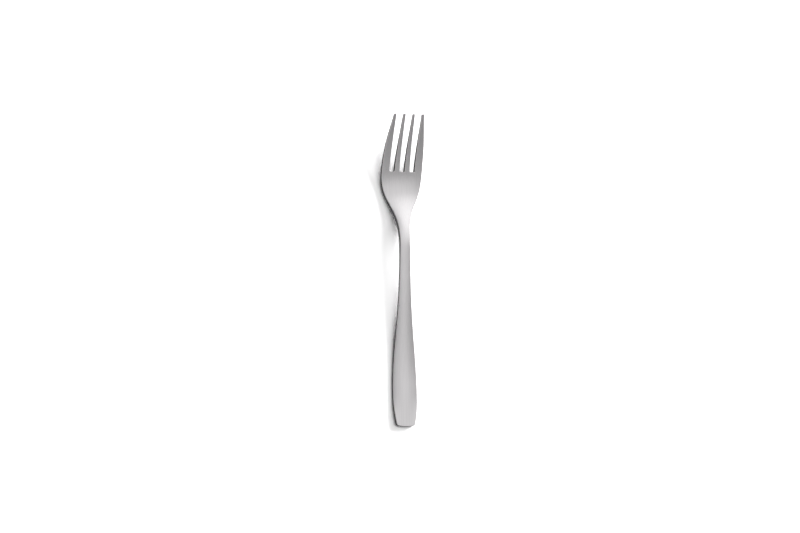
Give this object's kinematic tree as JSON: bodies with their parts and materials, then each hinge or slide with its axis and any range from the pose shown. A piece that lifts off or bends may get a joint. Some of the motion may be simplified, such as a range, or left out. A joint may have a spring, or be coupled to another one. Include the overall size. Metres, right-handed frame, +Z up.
{
  "type": "dessert fork",
  "caption": "Satin stainless dessert fork: flat flared handle with a bowed end, narrow arched neck, and a dished head whose slim tapered tines curve upward.",
  "frame": {"origin": "on the table under the middle of the fork, at the centre of the bottom of its bounding box", "axes": "+Y from the handle end to the tine tips, +Z up out of the face that is used, +X to the right seen from above with the tines pointing away"},
  "size_m": [0.0254, 0.185, 0.0189],
  "materials": {
    "satin_steel": "satin, brushed lengthwise, with brighter eased edges"
  },
  "bodies": {
    "root": {"dessert_fork": "satin_steel"}
  },
  "joints": []
}
